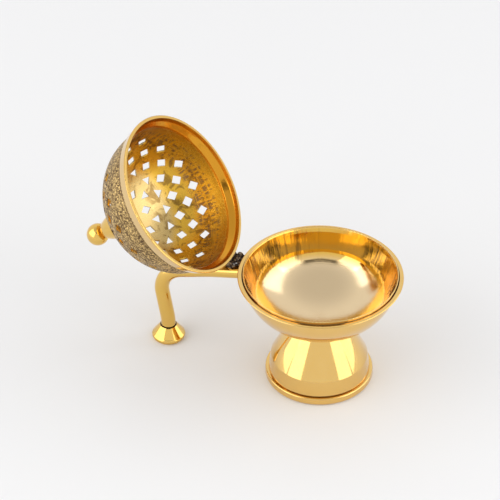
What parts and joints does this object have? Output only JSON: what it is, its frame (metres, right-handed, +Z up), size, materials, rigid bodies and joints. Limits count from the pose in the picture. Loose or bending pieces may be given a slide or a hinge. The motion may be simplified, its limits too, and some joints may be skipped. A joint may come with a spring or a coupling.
{
  "type": "incense burner",
  "caption": "Table-top brass incense burner: a footed bowl with a bent side handle and a pierced, engraved domed lid on a hinge.",
  "frame": {"origin": "on the ground, on the common axis of the bowl and foot", "axes": "+Z up along the bowl and foot's axis; the handle and hinge lie towards -X, and the object is longest along X; the hinge axis runs along Y"},
  "size_m": [0.1777, 0.0888, 0.1343],
  "materials": {
    "polished_bowl": "mirror polished",
    "polished_foot": "mirror polished",
    "steel_screw": "plain",
    "steel_washer": "plain",
    "steel_nut": "plain",
    "polished_handle": "mirror polished",
    "polished_handle_end": "mirror polished",
    "steel_handle_stud": "plain",
    "engraved_lid": "engraved outside with dark patina, polished inside",
    "polished_cone": "mirror polished",
    "polished_ball": "mirror polished",
    "steel_finial_stud": "plain",
    "lid_washer_metal": "plain",
    "lid_nut_metal": "plain",
    "aged_bowl_leaf": "aged",
    "aged_lid_leaf": "aged",
    "hinge_pin_metal": "plain"
  },
  "bodies": {
    "base": {"bowl": "polished_bowl", "foot": "polished_foot", "foot_stud": "steel_screw", "foot_washer": "steel_washer", "foot_nut": "steel_nut", "handle_rod": "polished_handle", "handle_end": "polished_handle_end", "handle_stud": "steel_handle_stud", "hinge_bowl_leaf": "aged_bowl_leaf", "hinge_pin": "hinge_pin_metal"},
    "lid_body": {"lid": "engraved_lid", "finial_cone": "polished_cone", "finial_ball": "polished_ball", "finial_stud": "steel_finial_stud", "lid_washer": "lid_washer_metal", "lid_nut": "lid_nut_metal", "hinge_lid_leaf": "aged_lid_leaf"}
  },
  "joints": [
    {"name": "lid_hinge", "type": "hinge", "parent": "base", "child": "lid_body", "pos_m": [-0.0466, 0, 0.0643], "axis": [0, 1, 0], "range_deg": [0, 128.66]}
  ]
}
